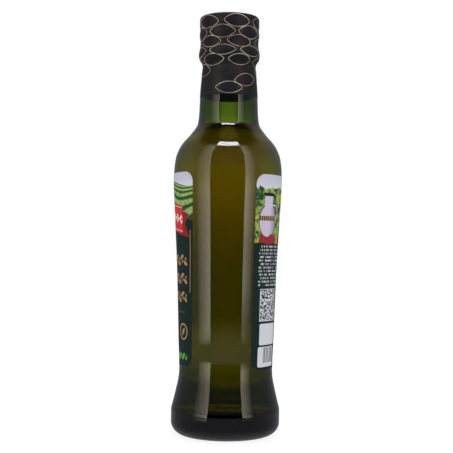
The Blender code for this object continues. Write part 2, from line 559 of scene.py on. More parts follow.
class Effects:
    """The node groups that several finishes share. Lengths on a label are in millimetres."""

    EDGE = 0.12
    LABEL_RADIUS = 26.6

    def __init__(self) -> None:
        """Build every group once."""
        self.label_plane = self._label_plane()
        self.box = self._box()
        self.disc = self._disc()
        self.leaf = self._leaf()
        self.garland = self._garland()
        self.rows = self._rows()
        self.cells = self._cells()
        self.bars = self._bars()
        self.handling = self._handling()
        self.grain = self._grain()

    def _label_plane(self) -> bpy.types.NodeTree:
        """Give the place on an unrolled label, to the viewer's right and up.

        Returns:
            The node group.
        """
        graph = Group("label_plane", "Place", "Side")
        place, side = graph.given
        x, y, z = graph.split(place)
        angle = graph.calc("ARCTAN2", x * side, y * side * -1)
        return graph.close(Across=angle * self.LABEL_RADIUS, Up=z * (1 / MM))

    def _box(self) -> bpy.types.NodeTree:
        """Mask a box with round corners.

        Returns:
            The node group.
        """
        names = ["Across", "Up", "Middle Across", "Middle Up", "Half Width", "Half Height", "Corner"]
        graph = Group("box_mask", *names)
        u, v, mu, mv, width, height, corner = graph.given
        past = [abs(u - mu) - width + corner, abs(v - mv) - height + corner]
        outside = [graph.calc("MAXIMUM", value, 0.0) for value in past]
        inside = graph.calc("MINIMUM", graph.calc("MAXIMUM", *past), 0.0)
        distance = graph.distance(*outside) + inside
        return graph.close(Mask=graph.above(corner, distance, self.EDGE))

    def _disc(self) -> bpy.types.NodeTree:
        """Mask a disc, and a ring of a given width along its rim.

        Returns:
            The node group.
        """
        names = ["Across", "Up", "Middle Across", "Middle Up", "Radius", "Rim"]
        graph = Group("disc_mask", *names)
        u, v, mu, mv, radius, rim = graph.given
        away = graph.distance(u - mu, v - mv)
        disc = graph.above(radius, away, self.EDGE)
        return graph.close(Disc=disc, Ring=graph.within(away, radius - rim, radius, self.EDGE))

    def _leaf(self) -> bpy.types.NodeTree:
        """Mask a pointed leaf that lies at an angle, and the vein along its middle.

        Returns:
            The node group.
        """
        names = ["Across", "Up", "Middle Across", "Middle Up", "Angle", "Half Length", "Half Width"]
        graph = Group("leaf_mask", *names)
        u, v, mu, mv, angle, length, width = graph.given
        du, dv = u - mu, v - mv
        cosine, sine = graph.calc("COSINE", angle), graph.calc("SINE", angle)
        along = du * cosine + dv * sine
        aside = dv * cosine - du * sine
        share = along / length
        half = width * (1.0 - share * share)
        away = abs(aside)
        vein = graph.above(self.EDGE, away, self.EDGE) * graph.above(half, away, self.EDGE)
        return graph.close(Leaf=graph.above(half, away, self.EDGE), Vein=vein)

    def _garland(self) -> bpy.types.NodeTree:
        """Mask a waved twig with leaves in turn above and below it, and a berry at each leaf.

        Returns:
            The node group.
        """
        names = ["Across", "Up", "Middle Up", "Period", "Half Length", "Half Width", "Reach"]
        graph = Group("garland_mask", *names)
        u, v, mv, period, length, width, reach = graph.given
        cell, local = graph.cell(u, period)
        side = 1.0 - abs(graph.calc("MODULO", cell, 2.0)) * 2.0
        wave = graph.calc("SINE", u / period * math.pi)
        up = v - (mv + wave * 0.35)
        middle = side * (width + 0.55)
        angle = side * 0.5
        leaf = graph.use(self.leaf, local, up, 0.0, middle, angle, length, width)
        here = graph.above(reach, abs(u), self.EDGE)
        twig = graph.above(0.16, abs(up), self.EDGE)
        berry = graph.use(self.disc, local, up, 0.2, middle * -0.8, 0.62, 0.2)
        return graph.close(Leaves=leaf["Leaf"] * here, Twig=twig * here, Berries=berry["Disc"] * here)

    def _rows(self) -> bpy.types.NodeTree:
        """Mask rows of small dashes in groups, as fine print looks from a step away.

        Returns:
            The node group.
        """
        names = ["Across", "Up", "Left", "Right", "Top", "Pitch", "Count", "Dash"]
        graph = Group("row_mask", *names)
        u, v, left, right, top, pitch, count, dash = graph.given
        depth = (top - v) / pitch
        row = graph.calc("FLOOR", depth)
        inside = graph.above(row, -0.5, 0.1) * graph.above(count - 0.5, row, 0.1)
        line = graph.within(depth - row, 0.2, 0.72, 0.12)
        run = (u - left) / dash
        cell = graph.calc("FLOOR", run)
        stroke = graph.within(run - cell, 0.1, 0.9, 0.2)
        tall = graph.above(graph.chance(cell, row), 0.14, 0.02)
        shape = graph.chance(cell + 31.0, row)
        off = abs(depth - row - 0.46)
        low = graph.above(shape + off, 0.42, 0.1)
        place = run * 0.17 + graph.chance(row) * 3.0
        word = graph.calc("FLOOR", place)
        space = graph.above(place - word, graph.chance(word, row) * 0.3, 0.04)
        end = right - graph.chance(row + 7.0) * 3.2
        width = graph.above(u, left, self.EDGE) * graph.above(end, u, self.EDGE)
        return graph.close(Mask=inside * line * stroke * tall * low * space * width)

    def _cells(self) -> bpy.types.NodeTree:
        """Mask the dark squares of a field of random squares.

        Returns:
            The node group.
        """
        names = ["Across", "Up", "Left", "Bottom", "Square", "Seed"]
        graph = Group("cell_mask", *names)
        u, v, left, bottom, square, seed = graph.given
        column = graph.calc("FLOOR", (u - left) / square)
        row = graph.calc("FLOOR", (v - bottom) / square)
        draw = graph.chance(column + seed, row)
        return graph.close(Mask=graph.above(draw, 0.5, 0.02))

    def _bars(self) -> bpy.types.NodeTree:
        """Mask upright bars of uneven width.

        Returns:
            The node group.
        """
        graph = Group("bar_mask", "Across", "Bar", "Seed")
        u, bar, seed = graph.given
        column = graph.calc("FLOOR", u / bar)
        return graph.close(Mask=graph.above(graph.chance(column, seed), 0.48, 0.02))

    def _handling(self) -> bpy.types.NodeTree:
        """Give the uneven gloss that dust and fingers leave, between two roughness values.

        Returns:
            The node group.
        """
        graph = Group("handling_marks", "Place", "Scale", "Low", "High")
        place, size, low, high = graph.given
        patches = graph.noise(place, size, 4, 0.62)
        marks = graph.ramp(patches, 0.42, 0.72, 0.0, 1.0)
        return graph.close(Roughness=marks * (high - low) + low)

    def _grain(self) -> bpy.types.NodeTree:
        """Give a fine relief and the same as a faint change of tone round 1.

        Returns:
            The node group.
        """
        graph = Group("fine_grain", "Place", "Scale", "Tone")
        place, size, depth = graph.given
        fine = graph.noise(place, size, 3, 0.6)
        return graph.close(Height=fine, Shade=(fine - 0.5) * depth + 1.0)


class Surface(Graph):
    """The graph of a new material, with its last shader in place."""

    def __init__(self, name: str, kind: str = "ShaderNodeBsdfPrincipled") -> None:
        """Open a new material.

        Args:
            name: the material's name.
            kind: the type of its last shader.
        """
        self.material = bpy.data.materials.new(name)
        self.material.use_nodes = True
        super().__init__(self.material.node_tree)
        self.shader = self.add(kind)
        self.output = self.add("ShaderNodeOutputMaterial", self.shader.outputs[0])

    def look(self, name: str | int, value: Feed) -> None:
        """Feed one input of the last shader."""
        self.feed(self.shader.inputs[name], value)

    def relief(self, height: Feed, depth: float) -> None:
        """Let a height stand out of the surface.

        Args:
            height: the relief, 0 to 1.
            depth: how high 1 stands, in metres.
        """
        bump = self.add("ShaderNodeBump", 1.0)
        self.feed(bump.inputs["Distance"], depth)
        self.feed(bump.inputs["Height"], height)
        self.look("Normal", bump.outputs[0])

    def absorb(self, colour: Rgba, density: float) -> None:
        """Let a clear body colour the light on its way through it.

        Args:
            colour: the colour that is let through.
            density: how strongly the rest is taken out, per metre.
        """
        volume = self.add("ShaderNodeVolumeAbsorption", colour, density)
        self.feed(self.output.inputs["Volume"], volume.outputs[0])


@dataclass(frozen=True)
class GlassFinish:
    """Green bottle glass, a little wavy from its mould, with faint handling marks."""

    colour: Rgba = (0.508, 0.618, 0.019, 1.0)
    density: float = 900.0
    index: float = 1.5
    wave_scale: float = 38.0
    wave_depth: float = 0.00007
    mark_scale: float = 60.0
    roughest: float = 0.02

    def make(self, effects: Effects) -> bpy.types.Material:
        """Build the material.

        Args:
            effects: the shared node groups.

        Returns:
            The glass material.
        """
        graph = Surface("green_glass")
        graph.look("Base Color", (1, 1, 1, 1))
        graph.look("IOR", self.index)
        graph.look("Transmission Weight", 1.0)
        place = graph.place()
        marks = graph.use(effects.handling, place, self.mark_scale, 0.0, self.roughest)
        graph.look("Roughness", marks["Roughness"])
        graph.relief(graph.noise(place, self.wave_scale, 1), self.wave_depth)
        graph.absorb(self.colour, self.density)
        return graph.material


@dataclass(frozen=True)
class OilFinish:
    """Clear golden green oil, whose colour deepens with the way through it."""

    colour: Rgba = (0.99, 0.82, 0.0, 1.0)
    density: float = 120.0
    index: float = 1.47
    haze: Rgba = (0.985, 0.98, 0.94, 1.0)
    haze_scale: float = 25.0

    def make(self) -> bpy.types.Material:
        """Build the material.

        Returns:
            The oil material.
        """
        graph = Surface("olive_oil")
        haze = graph.noise(graph.place(), self.haze_scale, 2)
        graph.look("Base Color", graph.blend(haze, (1, 1, 1, 1), self.haze))
        graph.look("Roughness", 0.0)
        graph.look("IOR", self.index)
        graph.look("Specular IOR Level", 0.0)
        graph.look("Transmission Weight", 1.0)
        graph.absorb(self.colour, self.density)
        return graph.material


@dataclass(frozen=True)
class SedimentFinish:
    """Brown crumbs of olive that settle out of the oil."""

    dark: Rgba = screen(30, 26, 14)
    light: Rgba = screen(150, 130, 70)
    tone_scale: float = 2500.0
    roughness: Fade = (0.3, 0.7, 0.5, 0.9)

    def make(self) -> bpy.types.Material:
        """Build the material.

        Returns:
            The sediment material.
        """
        graph = Surface("oil_sediment")
        tone = graph.noise(graph.place(), self.tone_scale, 2)
        graph.look("Base Color", graph.blend(tone, self.dark, self.light))
        graph.look("Roughness", graph.ramp(tone, *self.roughness))
        return graph.material


@dataclass(frozen=True)
class FilmFinish:
    """Satin black shrink film, drawn tight over the closure."""

    warm: Rgba
    cool: Rgba
    rough_low: float = 0.44
    rough_high: float = 0.58
    shine: float = 0.26
    wrinkle: float = 0.00004
    tone_scale: float = 140.0
    tone_change: Fade = (0.35, 0.65, 0.0, 1.0)
    mark_scale: float = 220.0
    fold_scale: float = 420.0
    fold_share: float = 0.8
    grain_scale: float = 2400.0
    grain_share: float = 0.12

    def make(self, name: str, effects: Effects) -> bpy.types.Material:
        """Build the material.

        Args:
            name: the material's name.
            effects: the shared node groups.

        Returns:
            The film material.
        """
        graph = Surface(name)
        place = graph.place()
        tone = graph.ramp(graph.noise(place, self.tone_scale, 2), *self.tone_change)
        grain = graph.use(effects.grain, place, self.grain_scale, 0.5)
        graph.look("Base Color", graph.blend(tone, self.warm, self.cool))
        graph.look("Specular IOR Level", self.shine)
        marks = graph.use(effects.handling, place, self.mark_scale, self.rough_low, self.rough_high)
        graph.look("Roughness", marks["Roughness"])
        folds = graph.noise(place, self.fold_scale, 2)
        height = folds * self.fold_share + grain["Height"] * self.grain_share
        graph.relief(height, self.wrinkle)
        return graph.material


@dataclass(frozen=True)
class FoilFinish:
    """Thin lines of rose gold foil printed on the film."""

    pale: Rgba = screen(204, 190, 172)
    deep: Rgba = screen(156, 130, 108)
    metal: float = 0.25
    tone_scale: float = 160.0
    tone_change: Fade = (0.35, 0.65, 0.0, 1.0)
    mark_scale: float = 900.0
    roughness: Point = (0.28, 0.5)
    grain_scale: float = 3000.0
    grain_depth: float = 0.00001

    def make(self, effects: Effects) -> bpy.types.Material:
        """Build the material.

        Args:
            effects: the shared node groups.

        Returns:
            The foil material.
        """
        graph = Surface("gold_foil")
        place = graph.place()
        tone = graph.ramp(graph.noise(place, self.tone_scale, 2), *self.tone_change)
        graph.look("Base Color", graph.blend(tone, self.pale, self.deep))
        marks = graph.use(effects.handling, place, self.mark_scale, *self.roughness)
        graph.look("Roughness", marks["Roughness"])
        graph.look("Metallic", self.metal)
        grain = graph.use(effects.grain, place, self.grain_scale, 0.3)
        graph.relief(grain["Height"], self.grain_depth)
        return graph.material


class Side(Enum):
    """Which way a label faces, as the sign of its direction along -Y."""

    FRONT = 1.0
    BACK = -1.0


class Print(Surface):
    """A label's surface, on which flat inks lie over one another, each under its own mask."""

    GRAIN = (1500.0, 0.16)
    ROUGHNESS = (0.46, 0.60)
    MARK_SCALE = 90.0
    GRAIN_SHARE = 0.25
    RELIEF = 0.03 * MM
    SHINE = 0.22
    FOIL_GLOSS = 0.16
    FOIL_METAL = 0.3

    def __init__(self, name: str, effects: Effects, side: Side, ground: Rgba) -> None:
        """Start with one ink all over.

        Args:
            name: the material's name.
            effects: the shared node groups.
            side: the way the label faces.
            ground: the first ink.
        """
        super().__init__(name)
        self.effects = effects
        self.spot = self.place()
        plane = self.use(effects.label_plane, self.spot, side.value)
        self.across, self.up = plane["Across"], plane["Up"]
        self.colour: Feed = ground
        self.foil: Feed = 0.0

    def _use(self, group: bpy.types.NodeTree, *values: Feed) -> dict[str, Value]:
        """Place a node group that starts from the place on the label."""
        return self.use(group, self.across, self.up, *values)

    def ink(self, mask: Feed, colour: Feed) -> None:
        """Print an ink where its mask is."""
        self.colour = self.blend(mask, self.colour, colour)

    def gild(self, mask: Feed, colour: Feed) -> None:
        """Print an ink where its mask is, with the shine and the relief of foil."""
        self.ink(mask, colour)
        self.foil = self.calc("MAXIMUM", self.foil, mask)

    def box(self, middle: Point, half: Point, corner: float = 0.0) -> Value:
        """Mask a box by its middle, its half width and height, and the radius of its corners."""
        return self._use(self.effects.box, *middle, *half, corner)["Mask"]

    def disc(self, middle: Point, radius: float, rim: float = 0.3) -> dict[str, Value]:
        """Mask a disc and, as Ring, a rim of the given width."""
        return self._use(self.effects.disc, *middle, radius, rim)

    def leaf(self, middle: Point, angle: float, half: Point) -> dict[str, Value]:
        """Mask a leaf that points at an angle in degrees, and its vein."""
        return self._use(self.effects.leaf, *middle, math.radians(angle), *half)

    def rows(self, left: float, right: float, top: float, pitch: float, count: int, dash: float) -> Value:
        """Mask rows of dashes.

        Args:
            left: where the rows start.
            right: where the longest row ends.
            top: the first row's upper edge.
            pitch: the height of a row and the space under it.
            count: how many rows.
            dash: a dash's width.

        Returns:
            The mask.
        """
        return self._use(self.effects.rows, left, right, top, pitch, count, dash)["Mask"]

    def finish(self) -> None:
        """Feed the print to its surface, on coated paper."""
        grain = self.use(self.effects.grain, self.spot, *self.GRAIN)
        self.look("Base Color", self.scaled(self.colour, grain["Shade"]))
        self.look("Specular IOR Level", self.SHINE)
        marks = self.use(self.effects.handling, self.spot, self.MARK_SCALE, *self.ROUGHNESS)
        self.look("Roughness", marks["Roughness"] - self.foil * self.FOIL_GLOSS)
        self.look("Metallic", self.foil * self.FOIL_METAL)
        height = grain["Height"] * self.GRAIN_SHARE + self.foil * (1 - self.GRAIN_SHARE)
        self.relief(height, self.RELIEF)


@dataclass(frozen=True)
class Inks:
    """The inks that both labels share."""

    sky_top: Rgba = screen(190, 189, 206)
    sky_low: Rgba = screen(204, 206, 214)
    light_green: Rgba = screen(150, 178, 92)
    mid_green: Rgba = screen(92, 132, 66)
    deep_green: Rgba = screen(38, 70, 46)
    field_green: Rgba = screen(11, 35, 29)
    red: Rgba = screen(202, 34, 42)
    deep_red: Rgba = screen(140, 20, 28)
    cream: Rgba = screen(236, 228, 206)
    gold: Rgba = screen(190, 152, 98)
    deep_gold: Rgba = screen(140, 104, 62)
    bright_green: Rgba = screen(86, 176, 58)
    yellow_green: Rgba = screen(160, 168, 62)
    lilac: Rgba = screen(196, 186, 206)
    shadow: Rgba = screen(30, 26, 36)
    white: Rgba = screen(204, 207, 213)


@dataclass(frozen=True)
class FrontPrint:
    """The front label: terraced hills, a red ribbon and gold olive garlands on dark green.

    Places are millimetres across from the label's middle and up from the ground. A wave has
    its turn in radians a millimetre and its start, and a box its middle and its half sizes.
    """

    inks: Inks = Inks()
    sky: Fade = (136.0, 129.0, 0.0, 1.0)
    horizon: float = 131.0
    crest_wave: Point = (0.17, 0.7)
    crest_rise: float = 1.5
    terraces: float = 15.0
    terrace_wave: Point = (0.21, 2.0)
    terrace_bend: float = 2.2
    terrace_roughness: float = 2.4
    bush_scale: float = 900.0
    bush_strength: float = 0.6
    field_top: float = 116.0
    field_wave: float = 8.5
    field_rise: float = 4.0
    frame_heights: Point = (75.0, 107.0)
    frame_start: float = 19.6
    frame_lean: float = 0.0335
    frame_half: float = 0.18
    ribbon_height: float = 114.2
    ribbon_arch: float = 0.0065
    ribbon_half: Point = (17.0, 7.4)
    ribbon_lines: Point = (5.9, 6.25)
    ribbon_edge: float = 0.15
    tail_drop: float = 1.8
    tail_half: float = 6.2
    tail_ends: Point = (13.0, 19.4)
    tail_notch: float = 0.5
    lozenge_pitch: float = 4.6
    lozenge_slope: float = 1.5
    lozenge_halves: Point = (2.6, 1.2)
    dot_square: float = 0.3
    dots_end: float = 15.0
    garlands: tuple[float, ...] = (91.5, 82.0, 72.5)
    garland_reach: float = 20.2
    garland_taper: float = 0.5
    garland_leaf: tuple[float, float, float] = (3.4, 2.5, 0.85)
    rule: Box = ((0.0, 64.6), (17.0, 0.11))
    seals: tuple[float, ...] = (-15.2, 0.0, 15.2)
    seal_height: float = 54.6
    seal_radius: float = 4.3
    seal_rim: float = 0.75
    seal_leaf: Point = (2.7, 1.0)
    seal_angle: float = 52.0
    leaf_row_height: float = 41.8
    leaf_row_pitch: float = 4.2
    leaf_row_reach: float = 18.4
    leaf_row_leaf: tuple[float, float, float] = (0.75, 2.6, 1.05)

    def make(self, effects: Effects) -> bpy.types.Material:
        """Build the material.

        Args:
            effects: the shared node groups.

        Returns:
            The front label's material.
        """
        sheet = Print("front_print", effects, Side.FRONT, self.inks.sky_top)
        self._hills(sheet)
        self._lower_field(sheet)
        self._ribbon(sheet)
        self._garlands(sheet)
        self._seals(sheet)
        self._leaf_row(sheet)
        sheet.finish()
        return sheet.material

    def _hills(self, sheet: Print) -> None:
        """Print the sky and the terraced hills under it.

        Args:
            sheet: the label's print.
        """
        inks = self.inks
        sheet.ink(sheet.ramp(sheet.up, *self.sky), inks.sky_low)
        swell = sheet.calc("SINE", sheet.across * self.crest_wave[0] + self.crest_wave[1])
        depth = swell * self.crest_rise + self.horizon - sheet.up
        hill = sheet.above(depth, 0.0, 0.25)
        sheet.ink(hill, inks.mid_green)
        stretch = sheet.calc("LOGARITHM", depth * 0.5 + 1.3, math.e)
        bend = sheet.calc("SINE", sheet.across * self.terrace_wave[0] + self.terrace_wave[1])
        rough = sheet.noise(sheet.spot, 260.0, 2)
        phase = stretch * self.terraces + bend * self.terrace_bend + rough * self.terrace_roughness
        bands = sheet.calc("SINE", phase)
        sheet.ink(hill * sheet.above(bands, 0.15, 0.5), inks.light_green)
        sheet.ink(hill * sheet.above(-0.45, bands, 0.4), inks.deep_green)
        bushes = sheet.above(sheet.noise(sheet.spot, self.bush_scale, 2), 0.58, 0.06)
        near = sheet.above(depth, 3.0, 5.0)
        sheet.ink(hill * bushes * near * self.bush_strength, inks.deep_green)

    def _lower_field(self, sheet: Print) -> None:
        """Print the dark green field and the thin gold lines at its sides.

        Args:
            sheet: the label's print.
        """
        wave = sheet.calc("COSINE", sheet.across * (1 / self.field_wave))
        edge = wave * self.field_rise + self.field_top
        sheet.ink(sheet.above(edge, sheet.up, 0.2), self.inks.field_green)
        off = abs(sheet.across) - (sheet.up * self.frame_lean + self.frame_start)
        line = sheet.within(off, -self.frame_half, self.frame_half, Effects.EDGE)
        sheet.gild(line * sheet.within(sheet.up, *self.frame_heights, Effects.EDGE), self.inks.gold)

    def _ribbon(self, sheet: Print) -> None:
        """Print a red ribbon with notched tails, cream edge lines and a row of lozenges.

        Args:
            sheet: the label's print.
        """
        inks, edge = self.inks, self.ribbon_edge
        away = abs(sheet.across)
        level = sheet.up + sheet.across * sheet.across * self.ribbon_arch - self.ribbon_height
        off, tail_off = abs(level), abs(level + self.tail_drop)
        start, end = self.tail_ends
        tail = sheet.above(self.tail_half, tail_off, edge) * sheet.above(away, start, edge)
        sheet.ink(tail * sheet.above(tail_off * self.tail_notch + end, away, edge), inks.deep_red)
        body = sheet.above(self.ribbon_half[1], off, edge) * sheet.above(self.ribbon_half[0], away, edge)
        sheet.ink(body, inks.red)
        sheet.gild(body * sheet.within(off, *self.ribbon_lines, Effects.EDGE), inks.cream)
        local = abs(sheet.cell(sheet.across, self.lozenge_pitch)[1])
        reach = local * self.lozenge_slope + off
        for half, ink in zip(self.lozenge_halves, (inks.cream, inks.red)):
            sheet.ink(body * sheet.above(half, reach, 0.18), ink)
        flip = self.lozenge_pitch / 2 - local
        dot = sheet.above(self.dot_square, flip * flip + off * off, 0.2)
        sheet.ink(body * dot * sheet.above(self.dots_end, away, 0.2), inks.cream)

    def _garlands(self, sheet: Print) -> None:
        """Print the gold garlands of olive leaves.

        Args:
            sheet: the label's print.
        """
        garland, inks = sheet.effects.garland, self.inks
        for index, height in enumerate(self.garlands):
            reach = self.garland_reach - self.garland_taper * index
            twigs = sheet.use(garland, sheet.across, sheet.up, height, *self.garland_leaf, reach)
            for part, ink in (("Leaves", inks.gold), ("Twig", inks.deep_gold), ("Berries", inks.gold)):
                sheet.gild(twigs[part], ink)

    def _seals(self, sheet: Print) -> None:
        """Print a row of small gold seals, each a ring round a leaf, under a thin rule.

        Args:
            sheet: the label's print.
        """
        sheet.gild(sheet.box(*self.rule), self.inks.deep_gold)
        for across in self.seals:
            middle = (across, self.seal_height)
            sheet.gild(sheet.disc(middle, self.seal_radius, self.seal_rim)["Ring"], self.inks.gold)
            leaf = sheet.leaf(middle, self.seal_angle, self.seal_leaf)
            sheet.gild(leaf["Leaf"], self.inks.gold)
            sheet.ink(leaf["Vein"], self.inks.field_green)

    def _leaf_row(self, sheet: Print) -> None:
        """Print the bright green row of leaves at the foot of the label.

        Args:
            sheet: the label's print.
        """
        local = sheet.cell(sheet.across, self.leaf_row_pitch)[1]
        place = (local, sheet.up, 0.0, self.leaf_row_height)
        leaf = sheet.use(sheet.effects.leaf, *place, *self.leaf_row_leaf)
        here = sheet.above(self.leaf_row_reach, abs(sheet.across), Effects.EDGE)
        sheet.ink(leaf["Leaf"] * here, self.inks.bright_green)


@dataclass(frozen=True)
class BackPrint:
    """The back label: a jug among foliage, rows of fine dashes and three pale panels.

    Sizes are given as on the front label. Rows have their left, right and top, the pitch of a
    row, how many there are, and a dash's width.
    """

    inks: Inks = Inks()
    jug_shade: Rgba = screen(120, 108, 140)
    cloth_red: Rgba = screen(150, 40, 48)
    bar_grey: Rgba = screen(70, 68, 74)
    sky: Fade = (136.0, 128.0, 0.0, 0.8)
    horizon: float = 130.0
    tree_rise: float = 9.0
    jug: Point = (-17.0, 112.0)
    jug_radii: Point = (6.5, 6.1)
    jug_squeeze: float = 0.72
    jug_neck: Box = ((-17.0, 122.2), (3.1, 3.4))
    jug_lip: Box = ((-17.0, 125.6), (3.9, 0.8))
    jug_band: Point = (112.2, 114.6)
    handle: Point = (-12.2, 117.0)
    cloth_top: float = 104.6
    cloth_ends: Point = (-23.0, -9.0)
    sprigs: tuple[Point, ...] = ((-3.4, 110.0), (3.6, 118.5), (10.2, 107.0), (17.5, 119.5))
    sprig_angles: tuple[int, ...] = (35, 100, 160)
    sprig_reach: float = 2.4
    sprig_leaf: Point = (2.8, 0.9)
    field_top: float = 100.5
    field_rise: float = 3.0
    text: tuple[tuple[float, ...], ...] = (
        (-22.3, 19.0, 99.8, 1.8, 1, 0.95), (-22.3, 20.0, 98.0, 1.8, 11, 0.62),
        (-1.5, 19.5, 75.6, 1.55, 10, 0.55), (3.0, 13.5, 56.3, 2.65, 8, 0.6),
        (15.2, 21.4, 56.3, 2.65, 8, 0.6),
    )
    code_panel: Box = ((-12.8, 68.9), (7.9, 8.3))
    code_margin: float = 0.4
    code_square: float = 0.6
    blank_panel: Box = ((-12.1, 53.9), (8.2, 5.5))
    striped_panel: Box = ((-12.8, 42.3), (8.2, 5.2))
    stripes: Box = ((-10.6, 43.2), (5.9, 4.0))
    stripe: float = 0.36
    table: Box = ((10.6, 46.0), (8.9, 10.6))
    table_line: float = 0.3
    table_foot: float = 35.4
    table_pitch: float = 2.65

    def make(self, effects: Effects) -> bpy.types.Material:
        """Build the material.

        Args:
            effects: the shared node groups.

        Returns:
            The back label's material.
        """
        sheet = Print("back_print", effects, Side.BACK, self.inks.sky_top)
        self._foliage(sheet)
        self._jug(sheet)
        self._sprigs(sheet)
        low = self.field_top - self.field_rise / 2
        ragged = sheet.noise(sheet.spot, 300.0, 2) * self.field_rise + low
        sheet.ink(sheet.above(ragged, sheet.up, 0.25), self.inks.field_green)
        for rows in self.text:
            sheet.ink(sheet.rows(*rows), self.inks.white)
        self._panels(sheet)
        sheet.finish()
        return sheet.material

    def _foliage(self, sheet: Print) -> None:
        """Print the sky and the foliage under it.

        Args:
            sheet: the label's print.
        """
        inks = self.inks
        sheet.ink(sheet.ramp(sheet.up, *self.sky), inks.sky_low)
        ragged = sheet.noise(sheet.spot, 330.0, 3) * self.tree_rise + (self.horizon - 5.5)
        trees = sheet.above(ragged, sheet.up, 0.3)
        sheet.ink(trees, inks.mid_green)
        blobs = sheet.noise(sheet.spot, 190.0, 3, 0.6)
        sheet.ink(trees * sheet.above(blobs, 0.53, 0.06), inks.yellow_green)
        sheet.ink(trees * sheet.above(0.45, blobs, 0.05), inks.deep_green)
        fine = sheet.noise(sheet.spot, 620.0, 2)
        sheet.ink(trees * sheet.above(fine, 0.6, 0.05) * 0.7, inks.light_green)
        sheet.ink(trees * sheet.above(0.38, fine, 0.05) * 0.7, inks.field_green)

    def _jug(self, sheet: Print) -> None:
        """Print a pale jug on a red cloth.

        Args:
            sheet: the label's print.
        """
        inks = self.inks
        sheet.ink(sheet.disc(self.handle, 4.3, 1.1)["Ring"], inks.shadow)
        sheet.ink(sheet.disc((self.handle[0], self.handle[1] - 0.3), 4.0, 0.7)["Ring"], inks.lilac)
        aside = sheet.across - self.jug[0]
        away = sheet.distance((sheet.up - self.jug[1]) * self.jug_squeeze, aside)
        outer, inner = (sheet.above(radius, away, 0.2) for radius in self.jug_radii)
        sheet.ink(outer, inks.shadow)
        sheet.ink(inner, inks.lilac)
        sheet.ink(inner * sheet.ramp(aside, 0.0, 6.0, 0.0, 0.7), self.jug_shade)
        sheet.ink(sheet.box(*self.jug_neck, 0.6), inks.lilac)
        sheet.ink(sheet.box(*self.jug_lip, 0.7), inks.shadow)
        band = inner * sheet.within(sheet.up, *self.jug_band, 0.2)
        sheet.ink(band, inks.shadow)
        beads = sheet.calc("SINE", sheet.across * 4.2)
        sheet.ink(band * sheet.above(beads, 0.3, 0.3), inks.gold)
        drape = sheet.calc("SINE", sheet.across * 0.8) * 0.7 + self.cloth_top
        cloth = sheet.above(drape, sheet.up, 0.2) * sheet.within(sheet.across, *self.cloth_ends, 0.2)
        sheet.ink(cloth, self.cloth_red)
        folds = sheet.calc("SINE", sheet.across * 1.9 + sheet.up * 0.35)
        sheet.ink(cloth * sheet.above(folds, 0.55, 0.4) * 0.7, inks.deep_red)

    def _sprigs(self, sheet: Print) -> None:
        """Print sprigs of three leaves with an olive under each.

        Args:
            sheet: the label's print.
        """
        for across, height in self.sprigs:
            for angle in self.sprig_angles:
                turned = math.radians(angle)
                middle = (
                    across + self.sprig_reach * math.cos(turned),
                    height + self.sprig_reach * math.sin(turned),
                )
                leaf = sheet.leaf(middle, angle, self.sprig_leaf)
                sheet.ink(leaf["Leaf"], self.inks.light_green)
                sheet.ink(leaf["Vein"], self.inks.deep_green)
            sheet.ink(sheet.disc((across, height - 1.4), 1.5)["Disc"], self.inks.field_green)

    def _panels(self, sheet: Print) -> None:
        """Print the field of squares, the blank panel, the striped panel and a ruled table.

        Args:
            sheet: the label's print.
        """
        inks, effects = self.inks, sheet.effects
        middle, half = self.code_panel
        inner = (half[0] - self.code_margin, half[1] - self.code_margin)
        sheet.ink(sheet.box(middle, half), inks.white)
        corner = (middle[0] - half[0] + 0.1, middle[1] - half[1])
        squares = sheet.use(effects.cells, sheet.across, sheet.up, *corner, self.code_square, 3.0)
        sheet.ink(sheet.box(middle, inner) * squares["Mask"], inks.shadow)
        for panel in (self.blank_panel, self.striped_panel):
            sheet.ink(sheet.box(*panel, 1.0), inks.white)
        bars = sheet.use(effects.bars, sheet.across, self.stripe, 5.0)
        sheet.ink(sheet.box(*self.stripes) * bars["Mask"], self.bar_grey)
        middle, half = self.table
        inner = (half[0] - self.table_line, half[1] - self.table_line)
        frame = sheet.box(middle, half) - sheet.box(middle, inner)
        sheet.ink(sheet.calc("MAXIMUM", frame, 0.0), inks.white)
        ruled = sheet.calc("FRACT", (sheet.up - self.table_foot) * (1 / self.table_pitch))
        lines = sheet.box(middle, inner) * sheet.within(ruled, 0.44, 0.52, 0.04)
        sheet.ink(lines, inks.white)


